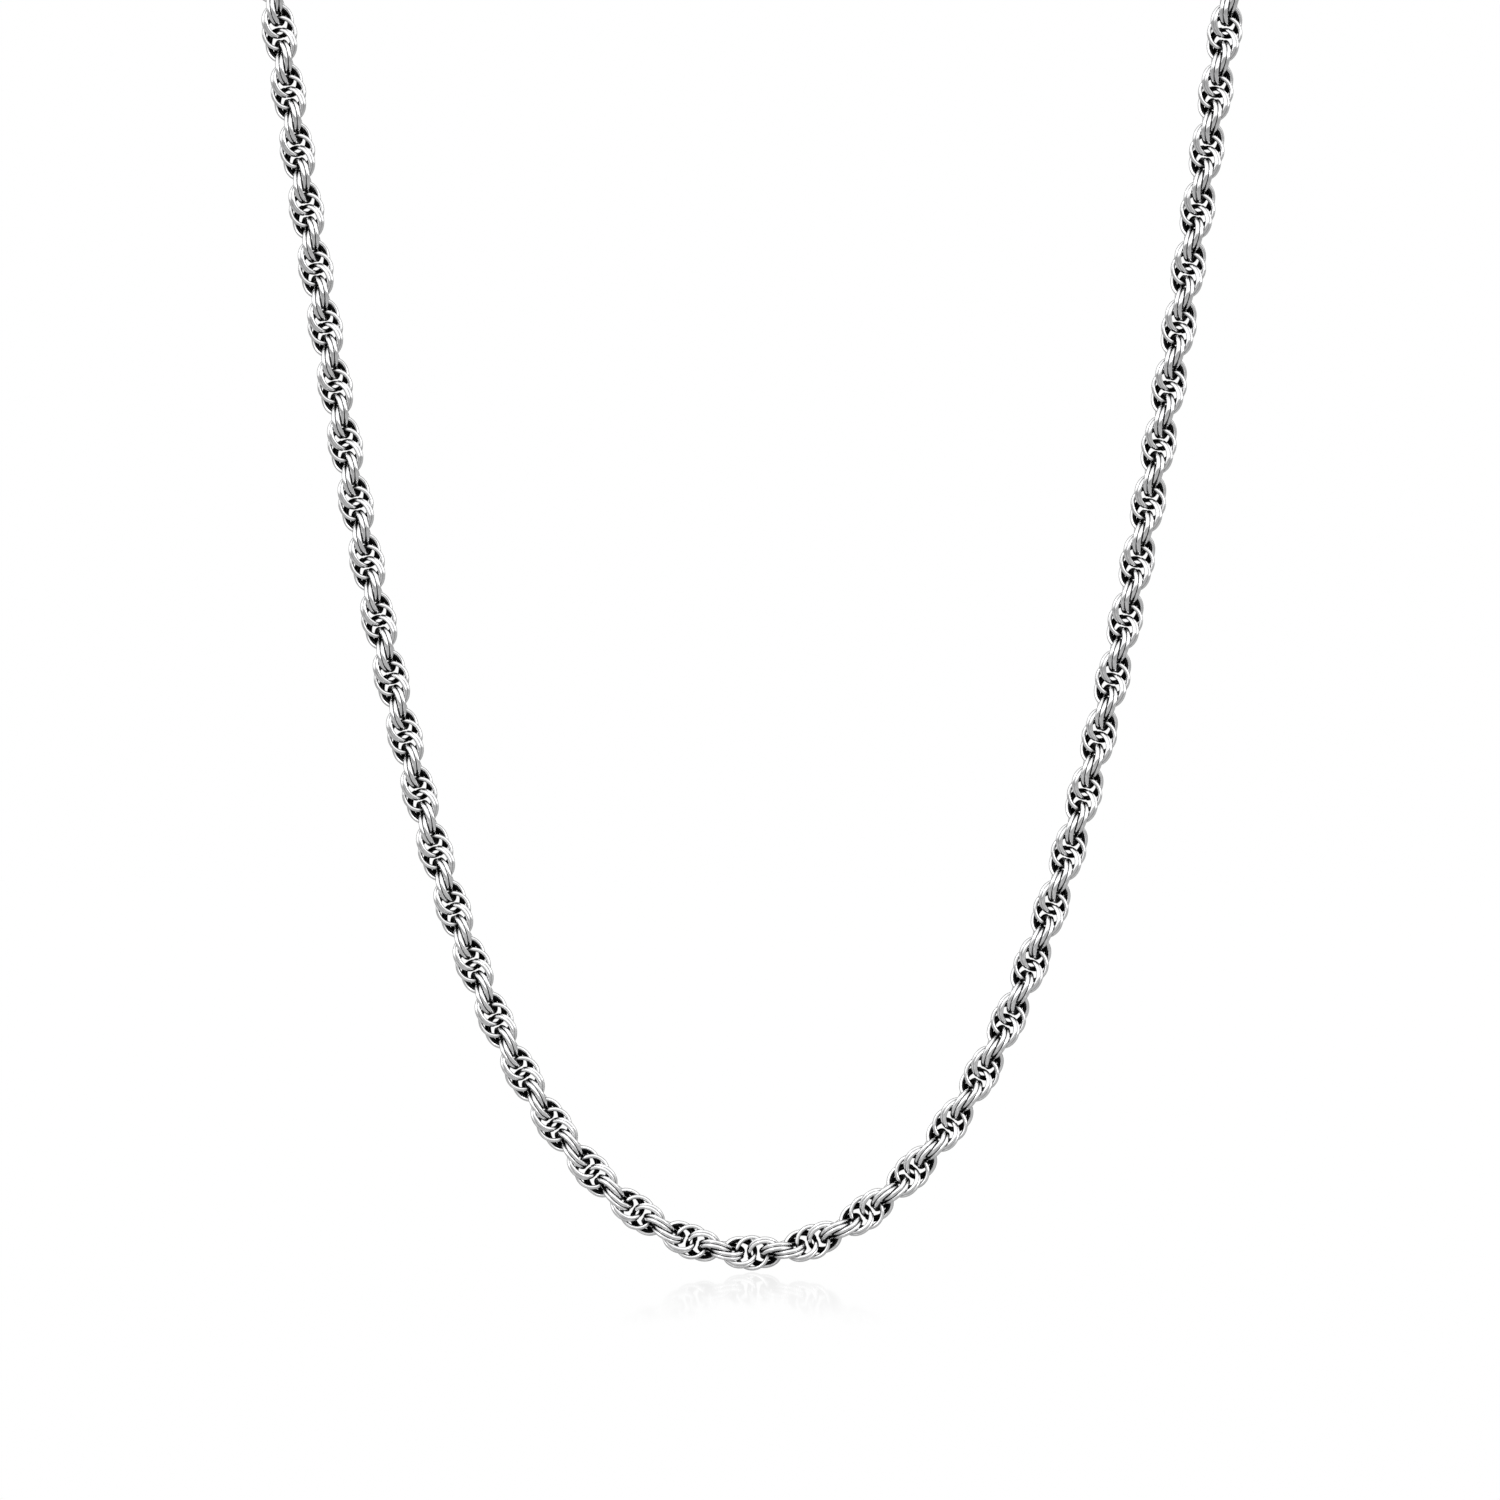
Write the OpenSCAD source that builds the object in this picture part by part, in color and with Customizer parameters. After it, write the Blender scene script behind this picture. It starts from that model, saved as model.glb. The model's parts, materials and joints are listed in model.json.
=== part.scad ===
// Rope chain necklace: open link rings packed in pairs round a twisted axis, a pinned end cap
// at each end, and a lobster clasp with its two rings at the back of the neck.
// Millimetres. +Z is up and the drop hangs towards -Z. The front of the chest is towards -Y.
// The origin is midway between the two points where the chain crosses the sides of the neck.

/* [Chain] */
// Diameter of the wire the link rings are bent from; the rings and their pitch follow it
wire_d = 0.44; // [0.3:0.01:0.6]
// Play between link rings where they cross, round the outside of the rope
cross_gap = 0.04; // [0.03:0.01:0.1]
// Play between a ring's end and the end of the ring three pairs on, inside the rope
inside_gap = 0.065; // [0.05:0.005:0.12]
// Gap between the two rings of a pair
pair_gap = 0.05; // [0.03:0.01:0.1]
// How much wider than the wire the slit in each open ring is
slit_clear = 0.06; // [0.02:0.01:0.15]

/* [Hanging shape] */
// Radius of the drop's curve at its lowest point
drop_r = 17.4; // [13:0.1:30]
// Radius of the bend where the chain turns from the chest over the collar
collar_r = 14; // [13:0.5:30]

/* [End caps] */
// Wall of the end caps
cap_wall = 0.4; // [0.3:0.05:0.8]
// Thickness of the floor of the end caps
cap_floor = 0.6; // [0.4:0.05:1]
// Gap all round between the chain and a cap's bore
cap_clear = 0.15; // [0.1:0.05:0.3]
// Wire of the eye on each end cap
eye_wire = 0.7; // [0.5:0.02:0.9]
// Radius of the hole through each eye
eye_hole_r = 0.72; // [0.6:0.02:1]

/* [Clasp] */
// Thickness of the clasp body
clasp_t = 2.5; // [2:0.1:3.5]
// Distance from the clasp's middle to the end of its housing
housing_end = 3.25; // [3.1:0.05:4]
// Distance from the clasp's middle to the centre of the hook's curve
hook_reach = 2.4; // [2:0.1:3.5]
// Radius of the hook's curve, to the middle of its wire
hook_r = 1.9; // [1.6:0.1:2.4]
// Thickness of the round hook and spine
hook_wire = 1.2; // [0.9:0.02:1.5]
// Wire of the eye at the clasp's tail
tail_wire = 0.7; // [0.5:0.02:0.9]
// Diameter of the pin that the trigger turns on
pivot_d = 0.8; // [0.6:0.02:1]
// Gap all round between the pivot pin and the trigger's bore
pivot_clear = 0.03; // [0.01:0.01:0.1]
// Thickness of the round gate bar
gate_wire = 1; // [0.8:0.02:1.2]
// Gap on each side of the trigger in its slot
slot_clear = 0.05; // [0.03:0.01:0.1]
// Wire of the trigger's coil spring
spring_wire = 0.18; // [0.12:0.01:0.22]

/* [Rings of the clasp] */
// Wire of the small ring between the clasp and the right end cap
jump_wire = 0.7; // [0.5:0.02:0.85]
// Wire of the ring that the hook closes on
catch_wire = 0.8; // [0.6:0.02:0.96]
// Play of these two rings in each eye they pass through
ring_play = 0.1; // [0.05:0.01:0.2]

/* [Hidden] */
$fn = 32;
silver = [0.84, 0.85, 0.87];
spring_steel = [0.6, 0.61, 0.63];

// ---- link rings ----
// each pair of rings is turned 36 degrees from the one before, so ten pairs make one full turn
turn_deg = 36;
// the smallest ring that lets so many wires cross round the outside of the rope
ring_r = 3.568 * (wire_d + cross_gap);
// every ring is linked with three pairs on each side, so three pitches span a ring and a wire
pitch = (2 * ring_r + wire_d + inside_gap) / 3;
pair_off = (wire_d + pair_gap) / 2;
chain_w = 2 * norm([ring_r, pair_off]) + wire_d;
slit_deg = (wire_d + slit_clear) / ring_r * 180 / PI;
// pairs of rings from the lowest point to an end cap
last_pair = 185;
// the pairs stand a little further apart round the tight bend at the bottom
slack_len = 1.15 * drop_r * pitch / 1.31;
slack = 0.447 * slack_len * ring_r / drop_r;
// and round the bend over the collar, from two pitches before it to two pitches after it
collar_len = collar_r * PI / 2 + 4 * pitch;
collar_slack = 0.2 * collar_len * ring_r / collar_r;

// ---- clasp and end caps, laid out along X from the middle of the clasp ----
eye_r = eye_hole_r + eye_wire / 2;
tail_hole_r = jump_wire / 2 + 0.35;
tail_r = tail_hole_r + tail_wire / 2;
tail_x = housing_end + 0.1 + tail_hole_r;
// the jump ring passes through the clasp's tail and through the right cap's eye
jump_left = tail_x + tail_hole_r - ring_play - jump_wire / 2;
jump_hole = tail_wire + eye_wire + 2 * ring_play + 0.4;
jump_r = (jump_hole + jump_wire) / 2;
jump_x = jump_left + jump_r;
eye_x = jump_x + jump_hole / 2 + eye_hole_r - ring_play;
// the hook stands with its curve's centre a little below the line of pull
hook_x = -hook_reach;
hook_z = -0.4;
hook_hole_r = hook_r - hook_wire / 2;
// the catch ring passes through the left cap's eye and through the hook
catch_left = -(eye_x - eye_hole_r + ring_play + catch_wire / 2);
catch_right = hook_x - sqrt(pow(hook_hole_r, 2) - pow(hook_z, 2)) + 2 * ring_play + catch_wire / 2;
catch_r = (catch_right - catch_left) / 2;
catch_x = (catch_right + catch_left) / 2;
// the end caps: the eye is soldered into the floor, and the chain starts behind the floor
cap_bore_r = chain_w / 2 + cap_clear;
cap_r = cap_bore_r + cap_wall;
cap_face_x = eye_x + eye_r - 0.2;
end_x = cap_face_x + cap_floor + cap_clear + wire_d / 2 + ring_r;
cap_mouth_x = end_x + 2 * pitch;
// the cap's pin passes through the last pair only, between its end and the pair before
cap_pin_x = end_x - (2 * ring_r - pitch) / 2;
cap_pin_d = (pitch - wire_d) * 0.8;
// the trigger turns on its pin just inside the line of the gate bar
gate_z = hook_z - hook_r;
pivot_x = 1.5;
pivot_z = gate_z + 0.4;
hub_r = pivot_d / 2 + 0.55;
hub_w = clasp_t * 0.6;
slot_w = hub_w + 2 * slot_clear;
slot_top = pivot_z + 1.4;
spring_r = pivot_d / 2 + pivot_clear + 0.1 + spring_wire / 2;
coil_gap = 0.06;
coil_room = 3 * spring_wire + 2 * coil_gap;

// ---- the line the chain lies on ----
// heading of the drop, in degrees from level, at arc length s from the lowest point: a hanging
// curve, a little flatter beside the tight bottom bend and a little closed in towards the neck
function heading(s) = atan(s / drop_r)
    - 2.47 * exp(-pow((s - 21.7) / 16.5, 2)) * min(1, s / 4)
    - 2.14 * pow(s / 154, 3);
// running sums of the heading give the sideways and upward travel
step = 0.5;
steps = 480;
side_run = [for (i = 0, x = 0; i <= steps; x = x + cos(heading((i + 0.5) * step)) * step, i = i + 1)
    [i * step, x]];
rise_run = [for (i = 0, z = 0; i <= steps; z = z + sin(heading((i + 0.5) * step)) * step, i = i + 1)
    [i * step, z]];
// arc length at which pair number j would stand with only the bottom's slack
function tanh_of(v) = 1 - 2 / (exp(2 * v) + 1);
function even_at(j) = j * pitch + slack * tanh_of(j * pitch / slack_len);
run_end = even_at(last_pair) + collar_slack;
// the front is as long as the rest of the chain allows once it has gone round the neck
function neck_radius(s) = lookup(s, side_run) + collar_r * cos(heading(s)) - end_x;
function solve_front(s, n) = n == 0 ? s
    : solve_front(run_end - (collar_r + neck_radius(s)) * PI / 2, n - 1);
front_len = solve_front(150, 30);
// arc length at which pair number j stands: negative to the left, positive to the right
function pair_at(j) = sign(j) * (even_at(abs(j)) + collar_slack * collar_share(even_at(abs(j))));
function collar_share(s) = min(1, max(0, (s - front_len + 2 * pitch) / (collar_len - collar_slack)));
neck_r = neck_radius(front_len);
front_h = heading(front_len);
front_x = lookup(front_len, side_run);
neck_z = lookup(front_len, rise_run) + collar_r * sin(front_h);
// v turned by angle a about the unit axis k
function spun(v, k, a) = v * cos(a) + cross(k, v) * sin(a) + k * (k * v) * (1 - cos(a));
// position and three directions (across, across, along) of the chain at arc length s
function on_front(side, q) = let (h = heading(q), t = [cos(h), 0, side * sin(h)], n = [0, 1, 0])
    [[side * lookup(q, side_run), 0, lookup(q, rise_run)], cross(n, t), n, t];
function on_neck(side, q) = let (
        out = [side * cos(front_h), 0, sin(front_h)],
        back = [0, 1, 0],
        k = cross(out, back),
        a = min((q - front_len) / collar_r * 180 / PI, 90),
        b = max(0, (q - front_len - collar_r * PI / 2) / neck_r * 180 / PI),
        bend = [side * front_x, 0, neck_z - collar_r * sin(front_h)]
            + collar_r * (out * sin(a) + back * (1 - cos(a))),
        p = bend + neck_r * [side * (cos(b) - 1), sin(b), 0],
        dirs = [for (v = [cross(back, side * out), back, side * out])
            spun(spun(v, k, a), [0, 0, 1], side * b)]
    )
    [p, dirs[0], dirs[1], dirs[2]];
function on_chain(s) = let (side = s < 0 ? -1 : 1, q = abs(s))
    q <= front_len ? on_front(side, q) : on_neck(side, q);
home = [0, collar_r, neck_z];

// ---- link rings ----
// one open ring: x is along the chain, z is the ring's own axis, and the slit is at angle "open"
module open_ring(centre, along, across, open) {
    n = cross(along, across);
    multmatrix([
        [along[0], across[0], n[0], centre[0]],
        [along[1], across[1], n[1], centre[1]],
        [along[2], across[2], n[2], centre[2]],
        [0, 0, 0, 1]
    ])
        rotate([0, 0, open + slit_deg / 2])
        rotate_extrude(angle = 360 - slit_deg)
        translate([ring_r, 0])
        circle(d = wire_d);
}

// two rings side by side, their slits at opposite ends
module ring_pair(j) {
    f = on_chain(pair_at(j));
    across = f[1] * cos(turn_deg * j) + f[2] * sin(turn_deg * j);
    n = f[2] * cos(turn_deg * j) - f[1] * sin(turn_deg * j);
    p = f[0] - home;
    open_ring(p + pair_off * n, f[3], across, 0);
    open_ring(p - pair_off * n, f[3], across, 180);
}

// a stretch of chain: every pair of rings from number a to number b
module run(a, b) {
    for (j = [a : b]) {
        ring_pair(j);
    }
}

// one full turn of the rope on the left (side -1) or right (side 1), counted from the bottom
module side_run_of(side, k) {
    if (side > 0) {
        run(10 * k - 4, 10 * k + 5);
    } else {
        run(-10 * k - 5, -10 * k + 4);
    }
}

// ---- runs of the chain, each one full turn of the rope ----
module bottom_run() {
    color(silver) run(-5, 5);
}

module left_run_01() {
    color(silver) side_run_of(-1, 1);
}

module left_run_02() {
    color(silver) side_run_of(-1, 2);
}

module left_run_03() {
    color(silver) side_run_of(-1, 3);
}

module left_run_04() {
    color(silver) side_run_of(-1, 4);
}

module left_run_05() {
    color(silver) side_run_of(-1, 5);
}

module left_run_06() {
    color(silver) side_run_of(-1, 6);
}

module left_run_07() {
    color(silver) side_run_of(-1, 7);
}

module left_run_08() {
    color(silver) side_run_of(-1, 8);
}

module left_run_09() {
    color(silver) side_run_of(-1, 9);
}

module left_run_10() {
    color(silver) side_run_of(-1, 10);
}

module left_run_11() {
    color(silver) side_run_of(-1, 11);
}

module left_run_12() {
    color(silver) side_run_of(-1, 12);
}

module left_run_13() {
    color(silver) side_run_of(-1, 13);
}

module left_run_14() {
    color(silver) side_run_of(-1, 14);
}

module left_run_15() {
    color(silver) side_run_of(-1, 15);
}

module left_run_16() {
    color(silver) side_run_of(-1, 16);
}

module left_run_17() {
    color(silver) side_run_of(-1, 17);
}

module left_run_18() {
    color(silver) side_run_of(-1, 18);
}

module right_run_01() {
    color(silver) side_run_of(1, 1);
}

module right_run_02() {
    color(silver) side_run_of(1, 2);
}

module right_run_03() {
    color(silver) side_run_of(1, 3);
}

module right_run_04() {
    color(silver) side_run_of(1, 4);
}

module right_run_05() {
    color(silver) side_run_of(1, 5);
}

module right_run_06() {
    color(silver) side_run_of(1, 6);
}

module right_run_07() {
    color(silver) side_run_of(1, 7);
}

module right_run_08() {
    color(silver) side_run_of(1, 8);
}

module right_run_09() {
    color(silver) side_run_of(1, 9);
}

module right_run_10() {
    color(silver) side_run_of(1, 10);
}

module right_run_11() {
    color(silver) side_run_of(1, 11);
}

module right_run_12() {
    color(silver) side_run_of(1, 12);
}

module right_run_13() {
    color(silver) side_run_of(1, 13);
}

module right_run_14() {
    color(silver) side_run_of(1, 14);
}

module right_run_15() {
    color(silver) side_run_of(1, 15);
}

module right_run_16() {
    color(silver) side_run_of(1, 16);
}

module right_run_17() {
    color(silver) side_run_of(1, 17);
}

module right_run_18() {
    color(silver) side_run_of(1, 18);
}

// ---- end caps ----
// the clasp's own frame: its middle is at the back of the neck
module at_clasp() {
    translate([0, neck_r, 0]) children();
}

// a ring of round wire standing in the plane of the clasp (its hole runs front to back)
module upright_ring(x, r, w) {
    translate([x, 0, 0]) rotate([90, 0, 0]) rotate_extrude() translate([r, 0]) circle(d = w);
}

// a cup over the chain's end: bore, floor, rolled rim, and an eye soldered on its floor
module end_cap(side) {
    len = cap_mouth_x - cap_face_x;
    difference() {
        union() {
            translate([side * (cap_face_x + 0.5), 0, 0])
                rotate([0, side * 90, 0])
                cylinder(r = cap_r, h = len - 0.5);
            translate([side * cap_face_x, 0, 0])
                rotate([0, side * 90, 0])
                cylinder(r1 = cap_r - 0.5, r2 = cap_r, h = 0.5);
            translate([side * (cap_mouth_x - 0.3), 0, 0])
                rotate([0, side * 90, 0])
                rotate_extrude()
                translate([cap_r, 0])
                circle(d = 0.5);
        }
        translate([side * (cap_face_x + cap_floor), 0, 0])
            rotate([0, side * 90, 0])
            cylinder(r = cap_bore_r, h = len);
        cap_pin_line(side) cylinder(d = cap_pin_d, h = 3 * cap_r, center = true);
    }
    upright_ring(side * eye_x, eye_r, eye_wire);
}

// children are set on the line of a cap's pin, their z along it
module cap_pin_line(side) {
    f = on_chain(side * run_end);
    n = f[2] * cos(turn_deg * last_pair) - side * f[1] * sin(turn_deg * last_pair);
    tilt = atan2(n[1], n[2]);
    translate([side * cap_pin_x, 0, 0]) rotate([-tilt, 0, 0]) children();
}

module end_cap_left() {
    color(silver) at_clasp() end_cap(-1);
}

module end_cap_right() {
    color(silver) at_clasp() end_cap(1);
}

// the pin fills its two holes in the cap and carries the last pair of rings
module cap_pin_left() {
    color(silver) at_clasp() cap_pin_line(-1) cylinder(d = cap_pin_d, h = 2 * cap_r, center = true);
}

module cap_pin_right() {
    color(silver) at_clasp() cap_pin_line(1) cylinder(d = cap_pin_d, h = 2 * cap_r, center = true);
}

// ---- clasp ----
// a closed-up split ring lying flat
module split_ring(x, r, w, start) {
    translate([x, 0, 0])
        rotate([0, 0, start + 2])
        rotate_extrude(angle = 356)
        translate([r, 0])
        circle(d = w);
}

module jump_ring() {
    color(silver) at_clasp() split_ring(jump_x, jump_r, jump_wire, 90);
}

module catch_ring() {
    color(silver) at_clasp() split_ring(catch_x, catch_r, catch_wire, 60);
}

// a plate in the clasp's plane: the outline is in x and z, the thickness runs front to back
module upright_plate(t) {
    translate([0, t / 2, 0]) rotate([90, 0, 0]) linear_extrude(height = t) children();
}

// a round bar in the clasp's plane from one point to another
module bar(a, b, d) {
    v = b - a;
    translate([a[0], 0, a[1]]) rotate([0, atan2(v[0], v[1]), 0]) cylinder(d = d, h = norm(v));
}

// the side outline of the clasp's housing, with its corners taken off
module housing_outline() {
    top_z = hook_z + hook_r + hook_wire / 2;
    low_z = pivot_z - hub_r - 0.1;
    polygon([
        [-0.3, top_z - 0.5], [0, top_z - 0.15], [0.5, top_z], [1.4, top_z], [2.1, top_z - 0.25],
        [housing_end - 0.4, 1.1], [housing_end, 0.5], [housing_end, -0.9],
        [housing_end - 0.3, low_z + 1], [housing_end - 0.75, low_z + 0.3],
        [housing_end - 1.2, low_z], [pivot_x - 0.5, low_z], [pivot_x - 0.95, low_z + 0.35],
        [0.1, slot_top - 0.5], [-0.3, slot_top + 0.2]
    ]);
}

// hook, spine, housing with its two cheeks, and tail eye, in one casting
module clasp_body() {
    spine_z = hook_z + hook_r;
    color(silver) at_clasp() {
        difference() {
            union() {
                upright_plate(clasp_t) housing_outline();
                bar([hook_x, spine_z], [0.6, spine_z], hook_wire);
            }
            // slot for the trigger, open below and towards the hook
            translate([-1, -slot_w / 2, slot_top - 6]) cube([housing_end + 0.65, slot_w, 6]);
            // bores for the pivot pin in both cheeks
            translate([pivot_x, 0, pivot_z]) rotate([90, 0, 0])
                cylinder(d = pivot_d, h = 2 * clasp_t, center = true);
        }
        // the hook, from the spine round to its tip
        translate([hook_x, 0, hook_z]) rotate([90, 0, 0]) rotate([0, 0, 90])
            rotate_extrude(angle = 180) translate([hook_r, 0]) circle(d = hook_wire);
        upright_ring(tail_x, tail_r, tail_wire);
    }
}

module clasp_pin() {
    color(silver) at_clasp() translate([pivot_x, 0, pivot_z]) rotate([90, 0, 0])
        cylinder(d = pivot_d, h = clasp_t + 0.1, center = true);
}

// the gate bar, its hub on the pin with room for the coil, and the thumb nib under the bar
module clasp_trigger() {
    nib = [pivot_x - 1.15, pivot_z - 1.35];
    root = [pivot_x - 0.6, pivot_z - 0.35];
    color(silver) at_clasp() difference() {
        union() {
            translate([pivot_x, 0, pivot_z]) rotate([90, 0, 0])
                cylinder(r = hub_r, h = hub_w, center = true);
            bar([hook_x + 0.08, gate_z], [pivot_x, pivot_z], gate_wire);
            bar(root, nib, gate_wire * 0.9);
            translate([nib[0], 0, nib[1]]) sphere(d = gate_wire * 1.3);
        }
        translate([pivot_x, 0, pivot_z]) rotate([90, 0, 0])
            cylinder(d = pivot_d + 2 * pivot_clear, h = 2 * hub_w, center = true);
        translate([pivot_x, 0, pivot_z]) rotate([90, 0, 0])
            cylinder(r = spring_r + spring_wire / 2 + coil_gap, h = coil_room, center = true);
        // way out above for the coil's two legs
        translate([pivot_x - hub_r - 0.1, -coil_room / 2, pivot_z + 0.15])
            cube([2 * hub_r + 0.2, coil_room, hub_r]);
    }
}

// a close-wound coil of three turns round the pin, drawn as one sleeve, with a leg up into the
// slot and a leg over the gate bar
module clasp_spring() {
    lay = spring_wire;
    color(spring_steel) at_clasp() translate([pivot_x, 0, pivot_z]) {
        rotate([90, 0, 0]) rotate_extrude() translate([spring_r - spring_wire / 2, -1.5 * lay])
            square([spring_wire, 3 * lay]);
        translate([spring_r, lay, 0]) cylinder(d = spring_wire * 0.9, h = 1.05);
        translate([0, -lay, spring_r]) rotate([0, -90, 0]) cylinder(d = spring_wire * 0.9, h = 1.1);
    }
}

// ---- the necklace ----
bottom_run();
left_run_01();
left_run_02();
left_run_03();
left_run_04();
left_run_05();
left_run_06();
left_run_07();
left_run_08();
left_run_09();
left_run_10();
left_run_11();
left_run_12();
left_run_13();
left_run_14();
left_run_15();
left_run_16();
left_run_17();
left_run_18();
right_run_01();
right_run_02();
right_run_03();
right_run_04();
right_run_05();
right_run_06();
right_run_07();
right_run_08();
right_run_09();
right_run_10();
right_run_11();
right_run_12();
right_run_13();
right_run_14();
right_run_15();
right_run_16();
right_run_17();
right_run_18();
end_cap_left();
end_cap_right();
cap_pin_left();
cap_pin_right();
jump_ring();
catch_ring();
clasp_body();
clasp_pin();
clasp_trigger();
clasp_spring();
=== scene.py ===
# %% [markdown]
# # A rope chain necklace in polished silver
# The necklace is a closed loop of rope chain. Its drop hangs in a narrow U at the front, the chain
# bends over the collar at both sides, and a small sprung clasp closes it at the nape.
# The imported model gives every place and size, and everything here is made in metres around it.

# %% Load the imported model
import json
import math

import bmesh
import bpy
import numpy as np
from mathutils import Matrix, Vector


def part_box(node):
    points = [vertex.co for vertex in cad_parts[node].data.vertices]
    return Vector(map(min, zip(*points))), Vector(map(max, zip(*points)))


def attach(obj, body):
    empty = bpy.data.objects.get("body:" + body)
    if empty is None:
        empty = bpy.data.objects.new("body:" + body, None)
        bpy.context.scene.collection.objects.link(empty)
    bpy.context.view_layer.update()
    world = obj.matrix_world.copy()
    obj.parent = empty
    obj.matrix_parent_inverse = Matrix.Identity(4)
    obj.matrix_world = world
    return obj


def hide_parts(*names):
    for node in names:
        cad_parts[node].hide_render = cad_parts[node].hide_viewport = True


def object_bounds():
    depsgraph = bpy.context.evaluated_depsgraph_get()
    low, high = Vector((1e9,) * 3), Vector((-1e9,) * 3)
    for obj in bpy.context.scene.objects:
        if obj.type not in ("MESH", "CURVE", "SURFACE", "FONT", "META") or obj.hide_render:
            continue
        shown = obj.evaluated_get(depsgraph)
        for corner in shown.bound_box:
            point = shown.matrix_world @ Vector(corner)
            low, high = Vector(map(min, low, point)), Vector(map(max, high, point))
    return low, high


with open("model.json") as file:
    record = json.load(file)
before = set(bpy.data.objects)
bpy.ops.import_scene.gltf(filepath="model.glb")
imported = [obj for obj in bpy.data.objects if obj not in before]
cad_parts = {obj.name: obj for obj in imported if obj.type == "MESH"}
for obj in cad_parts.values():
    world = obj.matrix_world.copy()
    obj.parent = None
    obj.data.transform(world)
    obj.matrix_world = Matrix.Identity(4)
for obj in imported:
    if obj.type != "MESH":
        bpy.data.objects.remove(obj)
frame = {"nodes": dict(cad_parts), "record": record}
cad_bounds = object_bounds()
MM = 0.001
print("box in mm:", [[round(v / MM, 2) for v in corner] for corner in cad_bounds])

# %% [markdown]
# ## Camera
# A necklace is pictured level and from far away with a long lens, so that the chain keeps the same
# width from top to bottom. The view takes in the drop and stops below the collar. The distance
# also keeps the nape above the top edge of the view.

# %% Camera
drop_low, drop_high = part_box("bottom_run")
BOTTOM_LINE_Z = drop_low[2] + 1.95 * MM
FRONT_Y = (drop_low[1] + drop_high[1]) / 2
VIEW_WIDTH = 165 * MM
VIEW_DISTANCE = 2.0
CENTRE_ABOVE_BOTTOM = 55.3 * MM
LEFT_OF_MIDDLE = 0.23 * MM
SENSOR_WIDTH = 36

camera_data = bpy.data.cameras.new("level_view")
camera_data.sensor_width = SENSOR_WIDTH
camera_data.lens = SENSOR_WIDTH * VIEW_DISTANCE / VIEW_WIDTH
camera_data.clip_start = 0.05
camera_data.clip_end = 20
camera = bpy.data.objects.new("level_view", camera_data)
bpy.context.scene.collection.objects.link(camera)
camera.location = (-LEFT_OF_MIDDLE, FRONT_Y - VIEW_DISTANCE, BOTTOM_LINE_Z + CENTRE_ABOVE_BOTTOM)
camera.rotation_euler = (math.radians(90), 0, 0)
bpy.context.scene.camera = camera
print("lens", round(camera_data.lens, 1), "mm at", VIEW_DISTANCE, "m")

# %% [markdown]
# ## Light
# Polished silver has no look of its own: it shows the room. A white tent makes its faces bright,
# and dark cards stand round the white backdrop, behind the necklace. They draw the thin dark line
# along the edge of every wire that keeps bright metal readable against white.

# %% Room light
def new_nodes(owner):
    """An empty node tree and its adder, for a world or a material."""
    owner.use_nodes = True
    tree = owner.node_tree
    tree.nodes.clear()
    return tree, tree.nodes.new


world = bpy.data.worlds.new("white_tent")
bpy.context.scene.world = world
tree, add = new_nodes(world)
coords = add("ShaderNodeTexCoord")
split = add("ShaderNodeSeparateXYZ")
tree.links.new(coords.outputs["Generated"], split.inputs[0])
ramp = add("ShaderNodeValToRGB")
tree.links.new(split.outputs["Y"], ramp.inputs["Fac"])
# where a ray heads, from sideways or forward (0) to straight behind the necklace (1):
# bright tent, then the dark cards, and right behind the chain the white backdrop
stops = [(0.0, 1.1), (0.2, 1.05), (0.4, 0.45), (0.58, 0.04), (0.93, 0.03), (0.965, 1.0)]
while len(ramp.color_ramp.elements) < len(stops):
    ramp.color_ramp.elements.new(0.5)
for element, (place, grey) in zip(ramp.color_ramp.elements, stops):
    element.position = place
    element.color = (grey, grey, grey, 1)
tent = add("ShaderNodeBackground")
tree.links.new(ramp.outputs["Color"], tent.inputs["Color"])
backdrop = add("ShaderNodeBackground")
backdrop.inputs["Color"].default_value = (1, 1, 1, 1)
seen = add("ShaderNodeLightPath")
choose = add("ShaderNodeMixShader")
tree.links.new(seen.outputs["Is Camera Ray"], choose.inputs[0])
tree.links.new(tent.outputs[0], choose.inputs[1])
tree.links.new(backdrop.outputs[0], choose.inputs[2])
out = add("ShaderNodeOutputWorld")
tree.links.new(choose.outputs[0], out.inputs["Surface"])
bpy.context.scene.view_settings.view_transform = "Standard"


def soft_panel(name, place, target, size, power):
    """A large square lamp that looks from place at target."""
    data = bpy.data.lights.new(name, "AREA")
    data.shape = "SQUARE"
    data.size = size
    data.energy = power
    lamp = bpy.data.objects.new(name, data)
    bpy.context.scene.collection.objects.link(lamp)
    lamp.location = place
    lamp.rotation_euler = (Vector(target) - Vector(place)).to_track_quat("-Z", "Y").to_euler()
    return lamp


middle = (0, FRONT_Y, BOTTOM_LINE_Z + 75 * MM)
soft_panel("key_panel", (-0.5, FRONT_Y - 0.7, 0.45), middle, 0.35, 1.2)
soft_panel("fill_panel", (0.6, FRONT_Y - 0.6, 0.1), middle, 0.3, 0.6)
print("white tent and two soft panels")

# %% [markdown]
# ## Floor
# The drop hangs just above a glossy white board. The board glows a little itself, so it melts into
# the tent, and a weak gloss gives the faint mirror image under the lowest links. The gloss fades
# towards the front, so that the image fades downwards.

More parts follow.
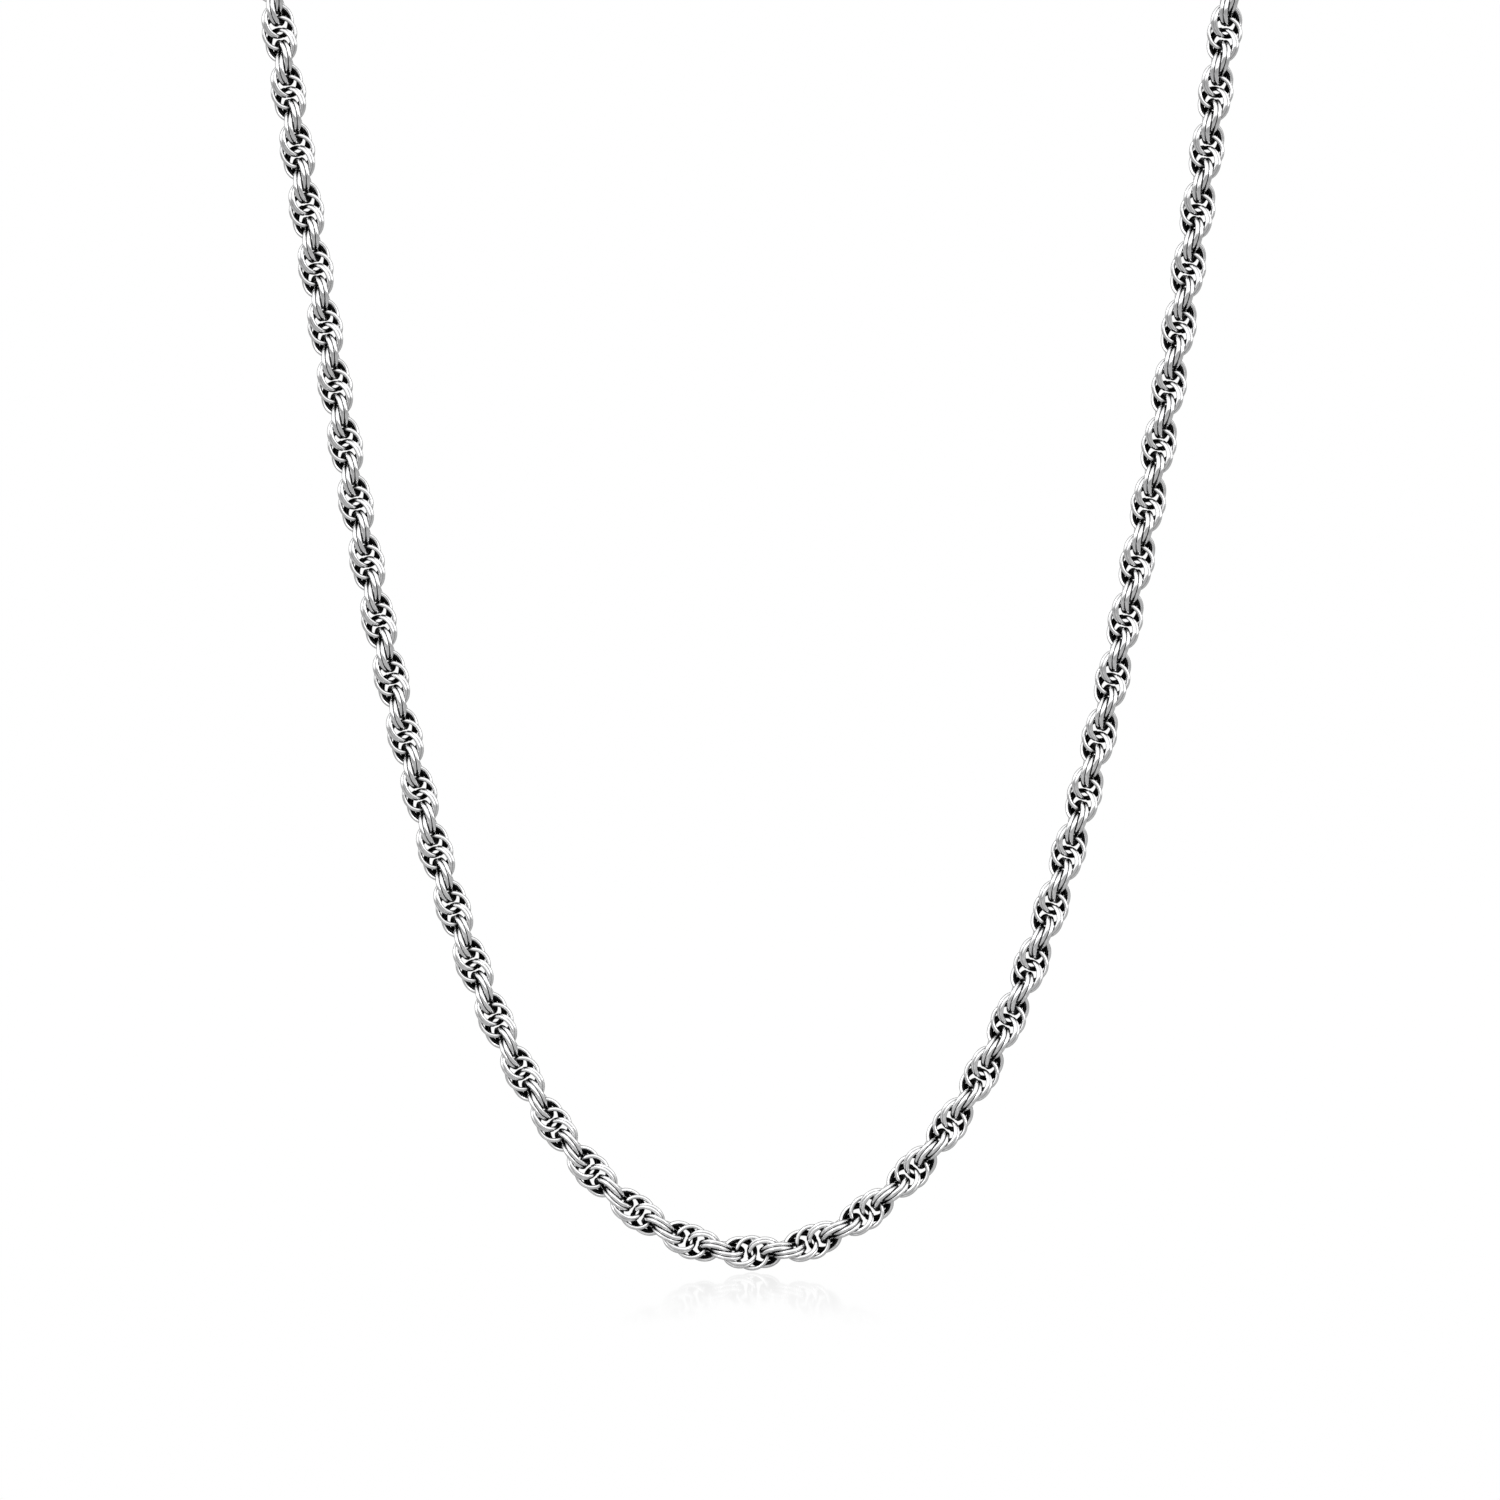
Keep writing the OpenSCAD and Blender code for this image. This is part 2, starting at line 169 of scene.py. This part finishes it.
# %% Floor
FLOOR_GAP = 0.1 * MM
FLOOR_SIZE = 6.0
FADE_START = 190 * MM
FADE_END = 10 * MM
GLOSS_SHARE = 0.16
floor_mesh = bpy.data.meshes.new("white_board")
shape = bmesh.new()
bmesh.ops.create_grid(shape, x_segments=2, y_segments=2, size=FLOOR_SIZE)
shape.to_mesh(floor_mesh)
shape.free()
floor = bpy.data.objects.new("white_board", floor_mesh)
bpy.context.scene.collection.objects.link(floor)
floor.location.z = cad_bounds[0][2] - FLOOR_GAP

board = bpy.data.materials.new("white_board")
tree, add = new_nodes(board)
white = add("ShaderNodeEmission")
white.inputs["Color"].default_value = (1, 1, 1, 1)
shaded = add("ShaderNodeEmission")
shaded.inputs["Color"].default_value = (0.35, 0.35, 0.35, 1)
seen = add("ShaderNodeLightPath")
glow = add("ShaderNodeMixShader")
tree.links.new(seen.outputs["Is Camera Ray"], glow.inputs[0])
tree.links.new(shaded.outputs[0], glow.inputs[1])
tree.links.new(white.outputs[0], glow.inputs[2])
gloss = add("ShaderNodeBsdfGlossy")
gloss.inputs["Color"].default_value = (1, 1, 1, 1)
gloss.inputs["Roughness"].default_value = 0.03
place = add("ShaderNodeTexCoord")
split = add("ShaderNodeSeparateXYZ")
tree.links.new(place.outputs["Object"], split.inputs[0])
fade = add("ShaderNodeMapRange")
fade.inputs["From Min"].default_value = FRONT_Y - FADE_START
fade.inputs["From Max"].default_value = FRONT_Y - FADE_END
fade.inputs["To Min"].default_value = 0.0
fade.inputs["To Max"].default_value = GLOSS_SHARE
tree.links.new(split.outputs["Y"], fade.inputs["Value"])
mix = add("ShaderNodeMixShader")
out = add("ShaderNodeOutputMaterial")
tree.links.new(fade.outputs[0], mix.inputs[0])
tree.links.new(glow.outputs[0], mix.inputs[1])
tree.links.new(gloss.outputs[0], mix.inputs[2])
tree.links.new(mix.outputs[0], out.inputs["Surface"])
floor_mesh.materials.append(board)
print("floor at", round(floor.location.z / MM, 2), "mm")

# %% [markdown]
# ## Silver
# The outside of every link is polished bright, and shade is painted into its colour: where other
# wire shuts it in, at the crossings deep inside, between strands and at the tips near the middle,
# the colour goes grey to black. Each link carries a measure of how open it lies, and the finish
# reads it.
# Under that lie fine drawing lines along the wire
# and a slow change of tone, both far smaller than a link.

# %% Silver finish
def silver_finish(name, bright, line_scale, painted_shade_colour=None):
    """Polished silver; given a shade colour, a per-point openness measure paints shade into the
    colour where other wire shuts the link in.
    """
    material = bpy.data.materials.new(name)
    tree, add = new_nodes(material)
    link = tree.links.new
    shader = add("ShaderNodeBsdfPrincipled")
    shader.inputs["Metallic"].default_value = 1.0
    place = add("ShaderNodeTexCoord")
    cloud = add("ShaderNodeTexNoise")
    cloud.inputs["Scale"].default_value = 900
    cloud.inputs["Detail"].default_value = 4
    link(place.outputs["Object"], cloud.inputs["Vector"])
    tone = add("ShaderNodeValToRGB")
    tone.color_ramp.elements[0].color = (*[c * 0.94 for c in bright], 1)
    tone.color_ramp.elements[1].color = (*bright, 1)
    link(cloud.outputs["Fac"], tone.inputs["Fac"])
    rough = add("ShaderNodeMapRange")
    rough.inputs["To Min"].default_value = 0.14
    rough.inputs["To Max"].default_value = 0.24
    link(cloud.outputs["Fac"], rough.inputs["Value"])
    link(rough.outputs[0], shader.inputs["Roughness"])
    # painted shade: the base colour goes to near-black where the per-point openness is low, at
    # crossings, between strands and at the tips near the middle
    if painted_shade_colour:
        open_part = add("ShaderNodeAttribute")
        open_part.attribute_name = "painted_light_share"
        painted_light_share = add("ShaderNodeMapRange")
        painted_light_share.interpolation_type = "SMOOTHSTEP"
        painted_light_share.inputs["From Min"].default_value = 0.27
        painted_light_share.inputs["From Max"].default_value = 0.62
        link(open_part.outputs["Fac"], painted_light_share.inputs["Value"])
        mixed = add("ShaderNodeMix")
        mixed.data_type = "RGBA"
        mixed.inputs["A"].default_value = (*painted_shade_colour, 1)
        link(painted_light_share.outputs[0], mixed.inputs["Factor"])
        link(tone.outputs["Color"], mixed.inputs["B"])
        link(mixed.outputs["Result"], shader.inputs["Base Color"])
    else:
        link(tone.outputs["Color"], shader.inputs["Base Color"])
    lines = add("ShaderNodeTexNoise")
    lines.inputs["Scale"].default_value = line_scale
    lines.inputs["Detail"].default_value = 2
    link(place.outputs["Object"], lines.inputs["Vector"])
    bump = add("ShaderNodeBump")
    bump.inputs["Strength"].default_value = 0.06
    bump.inputs["Distance"].default_value = 0.00002
    link(lines.outputs["Fac"], bump.inputs["Height"])
    link(bump.outputs["Normal"], shader.inputs["Normal"])
    out = add("ShaderNodeOutputMaterial")
    link(shader.outputs[0], out.inputs["Surface"])
    return material


# the near-black colour is painted shade for wire shut in by other wire
link_silver = silver_finish("link_silver", (0.97, 0.97, 0.975), 9000, painted_shade_colour=(0.03, 0.03, 0.031))
findings_silver = silver_finish("findings_silver", (0.93, 0.93, 0.94), 6000)
print("finishes:", link_silver.name, findings_silver.name)

# %% [markdown]
# ## The line of the chain
# A rope chain is a row of link pairs along one line, each pair turned a tenth of a turn from the
# one before. The line is the hanging curve of the drop, a quarter bend over the collar, and a
# quarter round the neck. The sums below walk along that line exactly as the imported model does.

# %% Sizes of the links and the line
WIRE = 0.44
CROSS_GAP, INSIDE_GAP, PAIR_GAP = 0.04, 0.065, 0.05
RING_R = 3.568 * (WIRE + CROSS_GAP)
PITCH = (2 * RING_R + WIRE + INSIDE_GAP) / 3
PAIR_OFF = (WIRE + PAIR_GAP) / 2
TURN = math.radians(36)
LAST_PAIR = 185
DROP_R, COLLAR_R = 17.4, 14.0
END_X = 10.8226
SLACK_LEN = 1.15 * DROP_R * PITCH / 1.31
SLACK = 0.447 * SLACK_LEN * RING_R / DROP_R
COLLAR_LEN = COLLAR_R * math.pi / 2 + 4 * PITCH
COLLAR_SLACK = 0.2 * COLLAR_LEN * RING_R / COLLAR_R


def heading(s):
    """Angle of the drop from level, at arc length s from its lowest point, all in mm."""
    fall = 2.47 * math.exp(-(((s - 21.7) / 16.5) ** 2)) * min(1, s / 4)
    return math.atan(s / DROP_R) - math.radians(fall + 2.14 * (s / 154) ** 3)


STEP = 0.5
marks = np.arange(481) * STEP
turns = np.array([heading(s + STEP / 2) for s in marks[:-1]])
sideways = np.concatenate([[0], np.cumsum(np.cos(turns)) * STEP])
upward = np.concatenate([[0], np.cumsum(np.sin(turns)) * STEP])


def even_at(j):
    """Arc length of pair j with only the bottom bend's slack."""
    return j * PITCH + SLACK * math.tanh(j * PITCH / SLACK_LEN)


def neck_radius(s):
    return np.interp(s, marks, sideways) + COLLAR_R * math.cos(heading(s)) - END_X


run_end = even_at(LAST_PAIR) + COLLAR_SLACK
front_len = 150.0
for _ in range(30):
    front_len = run_end - (COLLAR_R + neck_radius(front_len)) * math.pi / 2
neck_r = neck_radius(front_len)
front_h = heading(front_len)
front_x = np.interp(front_len, marks, sideways)
front_z = np.interp(front_len, marks, upward)
neck_z = front_z + COLLAR_R * math.sin(front_h)
print("front", round(front_len, 2), "neck radius", round(neck_r, 2), "drop", round(neck_z, 2))


# %% Places along the line
def pair_at(j):
    """Arc length of pair j, negative to the left."""
    s = even_at(abs(j))
    share = min(1, max(0, (s - front_len + 2 * PITCH) / (COLLAR_LEN - COLLAR_SLACK)))
    return math.copysign(s + COLLAR_SLACK * share, j)


def line_at(s):
    """Point and three directions (across, across, along) of the chain, as rows, in mm."""
    side, q = (-1 if s < 0 else 1), abs(s)
    back = np.array([0.0, 1.0, 0.0])
    if q <= front_len:
        h = heading(q)
        along = np.array([math.cos(h), 0, side * math.sin(h)])
        point = np.array([side * np.interp(q, marks, sideways), 0, np.interp(q, marks, upward)])
        return point, np.array([np.cross(back, along), back, along])
    out = np.array([side * math.cos(front_h), 0, math.sin(front_h)])
    a = min((q - front_len) / COLLAR_R, math.pi / 2)
    b = max(0.0, (q - front_len - COLLAR_R * math.pi / 2) / neck_r)
    over = Matrix.Rotation(a, 3, Vector(np.cross(out, back)))
    round_neck = Matrix.Rotation(side * b, 3, "Z")
    spin = np.array(round_neck @ over)
    dirs = np.array([np.cross(back, side * out), back, side * out]) @ spin.T
    point = np.array([side * front_x, 0, front_z])
    point = point + COLLAR_R * (out * math.sin(a) + back * (1 - math.cos(a)))
    point = point + neck_r * np.array([side * (math.cos(b) - 1), math.sin(b), 0])
    return point, dirs


HOME = np.array([0, COLLAR_R, neck_z])

# %% [markdown]
# ## Link rings
# Each link is a short piece of round wire bent into an open ring. One ring is made as a grid of
# points round and round, with its two cut ends closed, and then copied into place by arithmetic.
# That keeps some seven hundred links light, and each run of the chain is one smooth mesh.

# %% One open ring
# points along the ring and around its wire
ROUND, AROUND = 56, 14
# the buffed wire looks a little fuller than its own size
SHOWN_WIRE = 0.455
SLIT = (WIRE + 0.06) / RING_R


def open_ring():
    """Points (mm), faces, of a ring in its own plane, its slit centred on +x."""
    points, faces = [], []
    # the cut ends are slightly rounded over, as a snipped and tumbled wire is
    ends = [(0.0, 0.70), (0.05, 0.93), (0.12, 1.0)]
    stations = [(SLIT / 2 + e / RING_R, f) for e, f in ends]
    stations += [(t, 1.0) for t in np.linspace(SLIT / 2, 2 * math.pi - SLIT / 2, ROUND)[1:-1]]
    stations += [(2 * math.pi - SLIT / 2 - e / RING_R, f) for e, f in reversed(ends)]
    stations.sort()
    for t, f in stations:
        for k in range(AROUND):
            v = 2 * math.pi * k / AROUND
            r = RING_R + SHOWN_WIRE / 2 * f * math.cos(v)
            points.append((r * math.cos(t), r * math.sin(t), SHOWN_WIRE / 2 * f * math.sin(v)))
    for i in range(len(stations) - 1):
        for k in range(AROUND):
            a, b = i * AROUND + k, i * AROUND + (k + 1) % AROUND
            faces.append((a, a + AROUND, b + AROUND, b))
    faces.append(tuple(range(AROUND)))
    last = (len(stations) - 1) * AROUND
    faces.append(tuple(last + k for k in reversed(range(AROUND))))
    return np.array(points), faces


ring_points, ring_faces = open_ring()
print("one link:", len(ring_points), "points", len(ring_faces), "faces")

# %% [markdown]
# ## Where the painted shade falls
# Shade is painted into the links' colour by how open each point lies. For every point of a link,
# rays are sent out in all directions through a straight piece of chain, and the share that gets
# away without meeting another wire is kept. The share is cut down near the middle of the rope, as
# more painted shade on the tips there. Every link has the same neighbours, so one pair is enough.

# %% Openness of a link
RAYS = 40
RAY_STEPS = (0.14, 3.4, 0.2)
NEIGHBOURS = 5
TIPS_WITHIN, FLANKS_FROM, TIP_SHARE = 0.12, 0.57, 0.4


def pair_dirs(j):
    """Directions along, across and own axis of pair j of a straight chain, as rows."""
    c, s = math.cos(TURN * j), math.sin(TURN * j)
    return np.array([[0, 0, 1], [c, s, 0], [-s, c, 0]])


def openness(way):
    """Share of free directions at each point of the ring on one side of a pair."""
    points = ring_points * (way, way, 1)
    core = points * (1, 1, 0)
    core = core / np.linalg.norm(core, axis=1)[:, None] * RING_R
    normals = points - core
    normals = normals / np.linalg.norm(normals, axis=1)[:, None]
    start = points @ pair_dirs(0) + way * PAIR_OFF * pair_dirs(0)[2]
    normals = normals @ pair_dirs(0)
    n = np.arange(RAYS) + 0.5
    height, spin = 1 - 2 * n / RAYS, math.pi * (1 + 5 ** 0.5) * n
    flat = np.sqrt(1 - height ** 2)
    rays = np.stack([flat * np.cos(spin), flat * np.sin(spin), height], axis=1)
    weight = np.clip(normals @ rays.T, 0, 1)
    steps = np.arange(*RAY_STEPS)
    tested = start[:, None, None] + rays[None, :, None] * steps[None, None, :, None]
    tested = tested.reshape(-1, 3).astype(np.float32)
    hit = np.zeros(len(tested), bool)
    for j in range(-NEIGHBOURS, NEIGHBOURS + 1):
        for side in (1, -1):
            dirs = pair_dirs(j).astype(np.float32)
            local = (tested - dirs[2] * side * PAIR_OFF - (0, 0, j * PITCH)) @ dirs.T
            ring = np.hypot(local[:, 0], local[:, 1]) - RING_R
            hit |= ring ** 2 + local[:, 2] ** 2 < (SHOWN_WIRE / 2) ** 2
    free = ~hit.reshape(len(points), len(rays), len(steps)).any(axis=2)
    share = (weight * free).sum(axis=1) / weight.sum(axis=1)
    # painted shade: the share is cut down further towards the tips near the middle of the rope
    from_middle = np.hypot(start[:, 0], start[:, 1]) / RING_R
    far_out = np.clip((from_middle - TIPS_WITHIN) / (FLANKS_FROM - TIPS_WITHIN), 0, 1)
    return share * (TIP_SHARE + (1 - TIP_SHARE) * far_out)


# the openness of each point becomes painted shade in the link colour
ring_open = {1: openness(1), -1: openness(-1)}
print("openness", ring_open[1].min().round(2), "to", ring_open[1].max().round(2))


# %% Runs of the chain
def link_places(first, last):
    """For each link of a run: its centre, its directions (along, across, own axis), its slit."""
    for j in range(first, last + 1):
        point, (e1, e2, along) = line_at(pair_at(j))
        c, s = math.cos(TURN * j), math.sin(TURN * j)
        across, own = e1 * c + e2 * s, e2 * c - e1 * s
        for way in (1, -1):
            yield point - HOME + way * PAIR_OFF * own, (along, across, own), way


def chain_run(name, first, last, body):
    """One smooth mesh with all links of a run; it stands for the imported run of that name."""
    points, faces, painted_light_share = [], [], []
    for centre, dirs, way in link_places(first, last):
        placed = centre + (ring_points * (way, way, 1)) @ np.array(dirs)
        base = len(points) * len(ring_points)
        faces += [tuple(base + v for v in face) for face in ring_faces]
        points.append(placed)
        painted_light_share.append(ring_open[way])
    mesh = bpy.data.meshes.new(name)
    mesh.from_pydata(np.concatenate(points) * MM, [], faces)
    mesh.polygons.foreach_set("use_smooth", [len(f) == 4 for f in faces])
    # the per-point openness is stored for the finish, which paints shade from it
    measure = mesh.attributes.new("painted_light_share", "FLOAT", "POINT")
    measure.data.foreach_set("value", np.concatenate(painted_light_share))
    mesh.materials.append(link_silver)
    piece = bpy.data.objects.new("links_" + name, mesh)
    bpy.context.scene.collection.objects.link(piece)
    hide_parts(name)
    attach(piece, body)
    return piece


body_of_node = {}
for body, nodes in frame["record"]["behaviour"]["bodies"].items():
    for node in nodes:
        body_of_node[node] = body

runs = {"bottom_run": (-5, 5)}
for k in range(1, 19):
    runs[f"right_run_{k:02d}"] = (10 * k - 4, 10 * k + 5)
    runs[f"left_run_{k:02d}"] = (-10 * k - 5, -10 * k + 4)
furthest = 0
for name, (first, last) in runs.items():
    piece = chain_run(name, first, last, body_of_node[name])
    corners = np.array([piece.matrix_world @ Vector(c) for c in piece.bound_box])
    gap = max(
        np.abs(corners.min(axis=0) - np.array(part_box(name)[0])).max(),
        np.abs(corners.max(axis=0) - np.array(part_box(name)[1])).max(),
    )
    furthest = max(furthest, gap)
print(len(runs), "runs; furthest from the packed box:", round(furthest / MM, 3), "mm")

# %% [markdown]
# ## End caps, clasp and rings
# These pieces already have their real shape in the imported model, so they stay, and only take the
# finish of cast and polished findings.

# %% Finish of the findings
for name, node in frame["nodes"].items():
    if name not in runs:
        node.data.materials.clear()
        node.data.materials.append(findings_silver)
print("findings finished:", len(frame["nodes"]) - len(runs))
